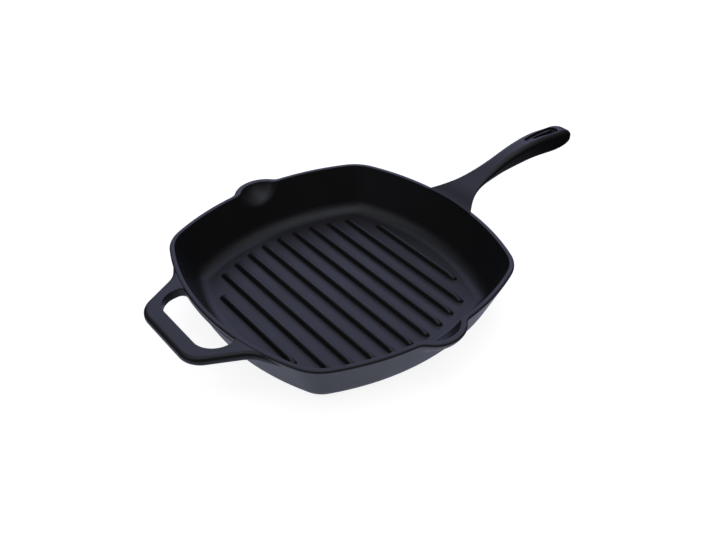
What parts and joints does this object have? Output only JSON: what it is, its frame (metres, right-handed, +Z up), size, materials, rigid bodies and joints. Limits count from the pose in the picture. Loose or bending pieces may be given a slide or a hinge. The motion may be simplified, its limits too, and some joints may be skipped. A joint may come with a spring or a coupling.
{
  "type": "grill pan",
  "caption": "Square cast-iron grill pan with a ribbed cooking floor, two pour spouts, a long arched handle with a hanging slot and a looped helper handle.",
  "frame": {"origin": "centre of the flat underside, the face that rests on the hob or table", "axes": "+X along the long handle, away from the pan; +Z up; +Y towards the right-hand pour spout, as seen by a cook who holds the long handle and looks towards the pan"},
  "size_m": [0.4519, 0.2822, 0.0741],
  "materials": {
    "seasoned_cast_iron": "black oil-seasoned sand casting, satin"
  },
  "bodies": {
    "root": {"base_plate": "seasoned_cast_iron", "side_wall": "seasoned_cast_iron", "rim_handle_side": "seasoned_cast_iron", "rim_helper_side": "seasoned_cast_iron", "pour_spout_left": "seasoned_cast_iron", "pour_spout_right": "seasoned_cast_iron", "grill_rib_01": "seasoned_cast_iron", "grill_rib_02": "seasoned_cast_iron", "grill_rib_03": "seasoned_cast_iron", "grill_rib_04": "seasoned_cast_iron", "grill_rib_05": "seasoned_cast_iron", "grill_rib_06": "seasoned_cast_iron", "grill_rib_07": "seasoned_cast_iron", "grill_rib_08": "seasoned_cast_iron", "grill_rib_09": "seasoned_cast_iron", "grill_rib_10": "seasoned_cast_iron", "grill_rib_11": "seasoned_cast_iron", "long_handle": "seasoned_cast_iron", "helper_handle": "seasoned_cast_iron"}
  },
  "joints": []
}
